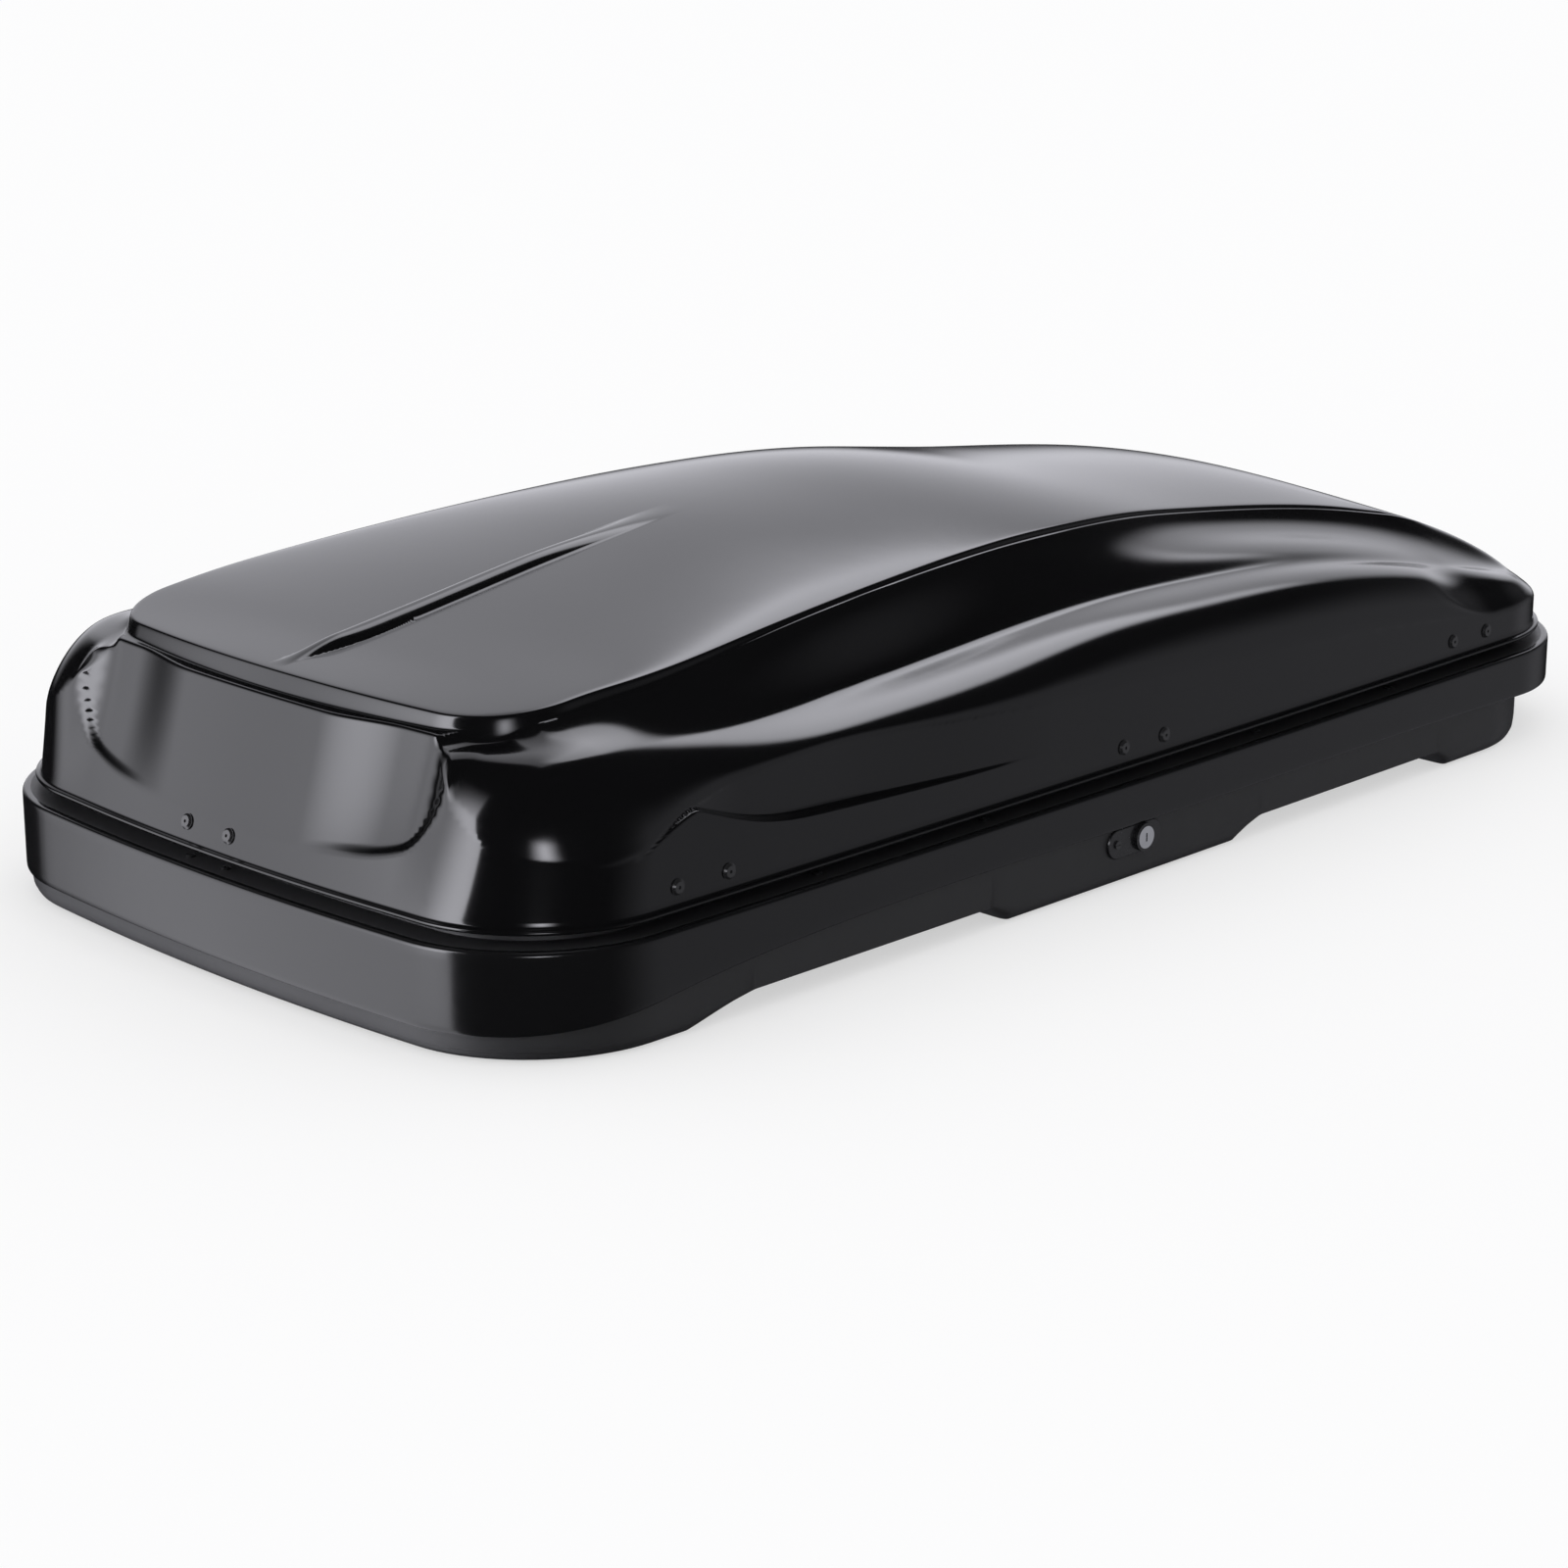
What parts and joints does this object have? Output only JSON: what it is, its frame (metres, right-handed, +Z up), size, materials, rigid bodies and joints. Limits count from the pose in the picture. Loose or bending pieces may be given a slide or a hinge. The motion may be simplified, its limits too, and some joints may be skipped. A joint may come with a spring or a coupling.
{
  "type": "roof cargo box",
  "caption": "Car roof cargo box: tub with crossbar slots, hinged domed lid, lock-driven sliding latch bar, lid struts and rim seal.",
  "frame": {"origin": "on the ground plane under the tub's feet, midway along the rim's length and width", "axes": "+X towards the vehicle's front (low, tapered end), +Y to the left (hinge side), +Z up"},
  "size_m": [1.5998, 0.8175, 0.346],
  "materials": {
    "lid_gloss": "gloss black ABS cap",
    "tub_plastic": "fine-grained black ABS",
    "seal_rubber": "EPDM",
    "hinge_steel": "black coated steel",
    "pin_steel": "zinc plated",
    "rivet_metal": "black aluminium blind rivet",
    "latch_steel": "zinc plated",
    "guide_plastic": "black nylon",
    "lock_black": "satin black",
    "lock_chrome": "chrome-plated zinc",
    "strut_black": "black painted tube",
    "rod_chrome": "hard chrome rod",
    "strip_steel": "galvanised strip"
  },
  "bodies": {
    "base": {"base_shell": "tub_plastic", "rim_seal": "seal_rubber", "latch_bar_guides": "guide_plastic", "lock_escutcheon": "lock_black", "lock_escutcheon_screw": "rivet_metal", "lock_housing": "lock_black", "lock_nut": "latch_steel", "strut_foot_pins": "pin_steel", "hinge_base_rivets": "rivet_metal", "latch_guide_rivets": "rivet_metal", "guide_socket_rivets": "rivet_metal", "mounting_strip_rivets": "rivet_metal", "strut_foot_bolts": "pin_steel", "strut_foot_nuts": "pin_steel", "hinge_base_leaf_rear": "hinge_steel", "hinge_pin_rear": "pin_steel", "hinge_base_leaf_middle": "hinge_steel", "hinge_pin_middle": "pin_steel", "hinge_base_leaf_front": "hinge_steel", "hinge_pin_front": "pin_steel", "guide_socket_rear": "guide_plastic", "strut_foot_bracket_rear": "latch_steel", "mounting_strip_rear_right": "strip_steel", "mounting_strip_rear_left": "strip_steel", "guide_socket_front": "guide_plastic", "strut_foot_bracket_front": "latch_steel", "mounting_strip_front_right": "strip_steel", "mounting_strip_front_left": "strip_steel"},
    "lid": {"lid": "lid_gloss", "striker_rivets": "rivet_metal", "hinge_lid_rivets": "rivet_metal", "lid_guide_rivets": "rivet_metal", "strut_head_rivets": "rivet_metal", "hinge_lid_leaf_rear": "hinge_steel", "striker_rear": "latch_steel", "hinge_lid_leaf_middle": "hinge_steel", "striker_middle": "latch_steel", "hinge_lid_leaf_front": "hinge_steel", "striker_front": "latch_steel", "lid_guide_rear": "guide_plastic", "strut_head_bracket_rear": "latch_steel", "lid_guide_front": "guide_plastic", "strut_head_bracket_front": "latch_steel"},
    "latch": {"latch_bar": "latch_steel", "latch_hook_rivets": "latch_steel", "latch_hook_rear": "latch_steel", "latch_hook_middle": "latch_steel", "latch_hook_front": "latch_steel"},
    "lock_cylinder": {"lock_plug": "lock_chrome", "lock_cam": "latch_steel", "lock_cam_clip": "latch_steel"},
    "strut_tube_rear": {"strut_tube_rear": "strut_black"},
    "strut_rod_rear": {"strut_rod_rear": "rod_chrome"},
    "strut_tube_front": {"strut_tube_front": "strut_black"},
    "strut_rod_front": {"strut_rod_front": "rod_chrome"}
  },
  "joints": [
    {"name": "lid_hinge", "type": "hinge", "parent": "base", "child": "lid", "pos_m": [0, 0.396, 0.105], "axis": [-1, 0, 0], "range_deg": [0, 45]},
    {"name": "lock_turn", "type": "hinge", "parent": "base", "child": "lock_cylinder", "pos_m": [0, -0.4, 0.043], "axis": [0, 1, 0], "range_deg": [0, 90]},
    {"name": "latch_slide", "type": "slide", "parent": "base", "child": "latch", "axis": [1, 0, 0], "range_m": [0, 0.0199]},
    {"name": "strut_swing_rear", "type": "hinge", "parent": "base", "child": "strut_tube_rear", "pos_m": [-0.608, 0.27, 0.034], "axis": [-1, 0, 0], "range_deg": [0, 9.32]},
    {"name": "strut_stroke_rear", "type": "slide", "parent": "strut_tube_rear", "child": "strut_rod_rear", "axis": [0, 0.5748, 0.8183], "range_m": [0, 0.04154]},
    {"name": "strut_swing_front", "type": "hinge", "parent": "base", "child": "strut_tube_front", "pos_m": [0.608, 0.27, 0.034], "axis": [-1, 0, 0], "range_deg": [0, 9.32]},
    {"name": "strut_stroke_front", "type": "slide", "parent": "strut_tube_front", "child": "strut_rod_front", "axis": [0, 0.5748, 0.8183], "range_m": [0, 0.04154]}
  ],
  "couplings": [
    {"joint": "latch_slide", "follows": "lock_turn", "m_per_rad": 0.012605},
    {"joint": "strut_swing_rear", "follows": "lid_hinge", "ratio": 0.2061},
    {"joint": "strut_stroke_rear", "follows": "lid_hinge", "m_per_rad": 0.052763},
    {"joint": "strut_swing_front", "follows": "lid_hinge", "ratio": 0.2061},
    {"joint": "strut_stroke_front", "follows": "lid_hinge", "m_per_rad": 0.052763}
  ]
}
